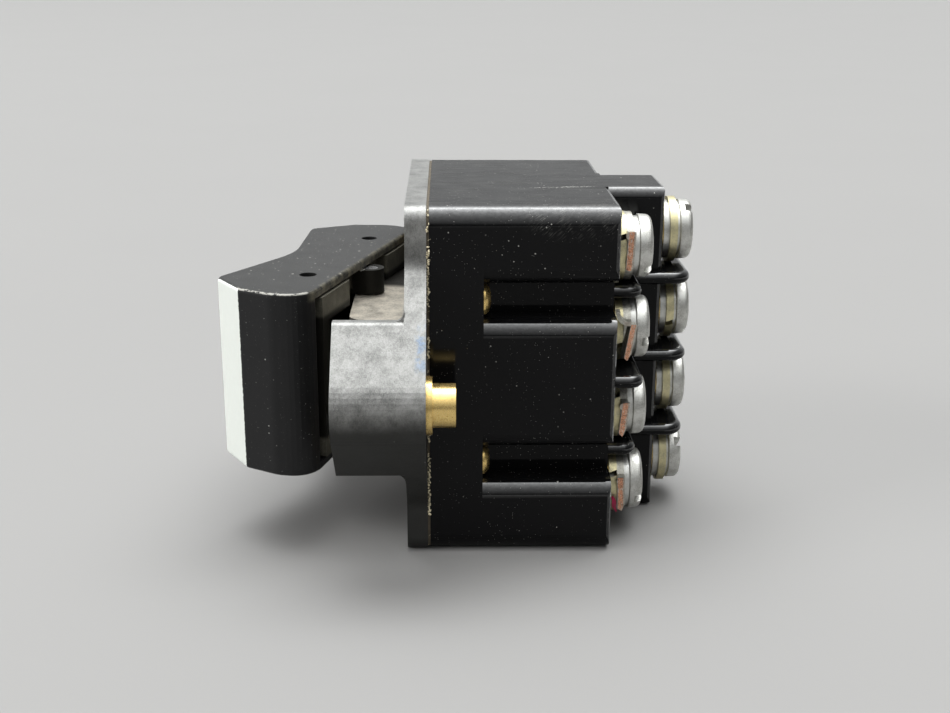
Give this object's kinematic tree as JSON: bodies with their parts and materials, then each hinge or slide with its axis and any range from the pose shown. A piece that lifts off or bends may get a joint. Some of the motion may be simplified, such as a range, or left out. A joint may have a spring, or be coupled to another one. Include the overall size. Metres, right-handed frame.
{
  "type": "rocker switch",
  "caption": "Panel rocker switch with a dished hollow rocker on a cast bracket with mounting posts, a moulded black case and ribbed screw terminals at the back.",
  "frame": {"origin": "middle of the two mounting holes, on the front faces of the mounting posts, where the panel's back seats", "axes": "-X out through the panel to the rocker, +X to the terminals, Y along the line of the two mounting holes, Z along the row of poles; the part lies on its -Z side"},
  "size_m": [0.0557, 0.0572, 0.0404],
  "materials": {
    "cast_bracket": "die-cast, mottled dull grey",
    "case_black": "glossy moulded thermoset",
    "gasket_tan": "matte sheet gasket",
    "brass": "bright turned",
    "nickel_steel": "dull nickel plate",
    "yellow_zinc": "yellow passivated zinc",
    "tinned_copper": "dull tin over copper",
    "copper": "bright copper alloy",
    "lever_dark": "dark conversion coat",
    "rocker_black": "satin moulded",
    "pin_dark": "blackened",
    "bar_brown": "moulded phenolic",
    "plunger_ivory": "moulded nylon",
    "spring_steel": "bright wire"
  },
  "bodies": {
    "housing": {"bracket": "cast_bracket", "case": "case_black", "flange_gasket": "gasket_tan", "mounting_insert_near": "brass", "mounting_insert_far": "brass", "case_rivets": "brass", "flat_washers": "nickel_steel", "lock_washers": "yellow_zinc", "head_washers": "nickel_steel", "terminal_screws": "nickel_steel", "pivot_pin": "nickel_steel", "near_terminal_1": "brass", "common_terminal_1": "brass", "far_terminal_1": "brass", "cut_lug_1": "tinned_copper", "near_terminal_2": "brass", "common_terminal_2": "brass", "far_terminal_2": "brass", "cut_lug_2": "tinned_copper", "near_terminal_3": "brass", "common_terminal_3": "brass", "far_terminal_3": "brass", "cut_lug_3": "tinned_copper", "near_terminal_4": "brass", "common_terminal_4": "brass", "far_terminal_4": "brass", "cut_lug_4": "tinned_copper"},
    "rocker": {"lever": "lever_dark", "rocker_cap": "rocker_black", "cap_pins": "pin_dark", "actuator_bar": "bar_brown", "bar_pin": "nickel_steel", "plunger_1": "plunger_ivory", "plunger_2": "plunger_ivory", "plunger_3": "plunger_ivory", "plunger_4": "plunger_ivory", "plunger_spring_1": "spring_steel", "plunger_spring_2": "spring_steel", "plunger_spring_3": "spring_steel", "plunger_spring_4": "spring_steel"},
    "contact_1": {"moving_contact_1": "copper"},
    "contact_2": {"moving_contact_2": "copper"},
    "contact_3": {"moving_contact_3": "copper"},
    "contact_4": {"moving_contact_4": "copper"}
  },
  "joints": [
    {"name": "rocker_tilt", "type": "hinge", "parent": "housing", "child": "rocker", "pos_m": [0.0028, 0, 0], "axis": [0, 0, 1], "range_deg": [0, 33]},
    {"name": "contact_1_seesaw", "type": "hinge", "parent": "housing", "child": "contact_1", "pos_m": [0.0196, 0, 0.01429], "axis": [0, 0, 1], "range_deg": [-12, 0]},
    {"name": "contact_2_seesaw", "type": "hinge", "parent": "housing", "child": "contact_2", "pos_m": [0.0196, 0, 0.00476], "axis": [0, 0, 1], "range_deg": [-12, 0]},
    {"name": "contact_3_seesaw", "type": "hinge", "parent": "housing", "child": "contact_3", "pos_m": [0.0196, 0, -0.00476], "axis": [0, 0, 1], "range_deg": [-12, 0]},
    {"name": "contact_4_seesaw", "type": "hinge", "parent": "housing", "child": "contact_4", "pos_m": [0.0196, 0, -0.01429], "axis": [0, 0, 1], "range_deg": [-12, 0]}
  ],
  "couplings": [
    {"joint": "contact_1_seesaw", "follows": "rocker_tilt", "ratio": -0.36364},
    {"joint": "contact_2_seesaw", "follows": "rocker_tilt", "ratio": -0.36364},
    {"joint": "contact_3_seesaw", "follows": "rocker_tilt", "ratio": -0.36364},
    {"joint": "contact_4_seesaw", "follows": "rocker_tilt", "ratio": -0.36364}
  ]
}
